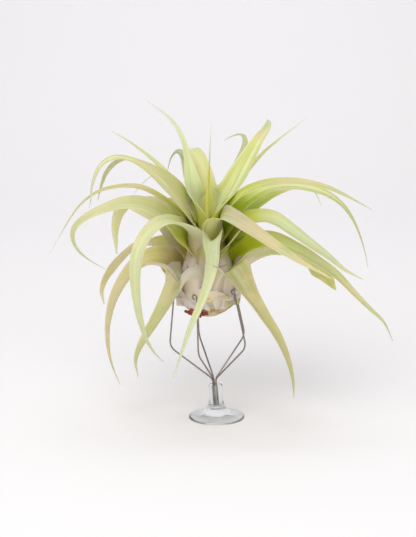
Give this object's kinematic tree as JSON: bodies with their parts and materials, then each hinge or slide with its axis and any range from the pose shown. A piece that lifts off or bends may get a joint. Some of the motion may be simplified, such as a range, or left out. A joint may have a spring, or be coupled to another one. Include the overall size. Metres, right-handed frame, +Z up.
{
  "type": "rio hondo air plant on a wire stand",
  "caption": "Rio hondo air plant, a rosette of long arching channelled leaves on a pale bulb, held in a wire cradle on a clear suction-cup foot.",
  "frame": {"origin": "on the table plane, at the middle of the whole object's footprint, which is also the middle of the foot", "axes": "+Z up along the stand, +X to the right and -Y to the front as the picture shows it"},
  "size_m": [0.2735, 0.1895, 0.2572],
  "materials": {
    "clear_plastic": "clear soft moulded plastic, glossy",
    "wire": "drawn steel wire, dull bright",
    "sheath": "papery overlapping sheaths, cream to pinkish white",
    "roots": "dry rust-brown root stubs, fibrous",
    "leaf": "silvery grey-green blade with a fine pale bloom",
    "young_leaf": "yellow-green blade with a fine pale bloom",
    "old_leaf": "fading blade, tan and pinkish over grey green"
  },
  "bodies": {
    "root": {"suction_cup": "clear_plastic", "prong_1": "wire", "prong_2": "wire", "prong_3": "wire", "prong_4": "wire", "prong_5": "wire", "bulb": "sheath", "old_roots": "roots", "leaf_hang_right": "leaf", "leaf_hang_left": "leaf", "leaf_side_right": "leaf", "leaf_side_left": "old_leaf", "leaf_side_front": "old_leaf", "leaf_low_right": "leaf", "leaf_hang_front": "leaf", "leaf_mid_right": "leaf", "leaf_arch_right_3": "young_leaf", "leaf_arch_left_5": "old_leaf", "leaf_arch_left_4": "leaf", "leaf_front_left": "leaf", "leaf_front_right": "leaf", "leaf_arch_right_2": "young_leaf", "leaf_arch_left_3": "young_leaf", "leaf_arch_left_1": "young_leaf", "leaf_arch_left_2": "young_leaf", "leaf_arch_right_1": "young_leaf", "leaf_slim_right": "young_leaf", "leaf_hook_back": "young_leaf", "leaf_slim_left": "young_leaf", "leaf_hook_left": "young_leaf", "leaf_tall_left": "young_leaf", "leaf_tall_back": "young_leaf", "leaf_tall_right": "young_leaf", "leaf_spike": "young_leaf", "leaf_back_1": "leaf", "leaf_back_2": "leaf", "leaf_back_3": "leaf", "leaf_back_4": "leaf", "leaf_back_5": "leaf", "leaf_back_6": "leaf"}
  },
  "joints": []
}
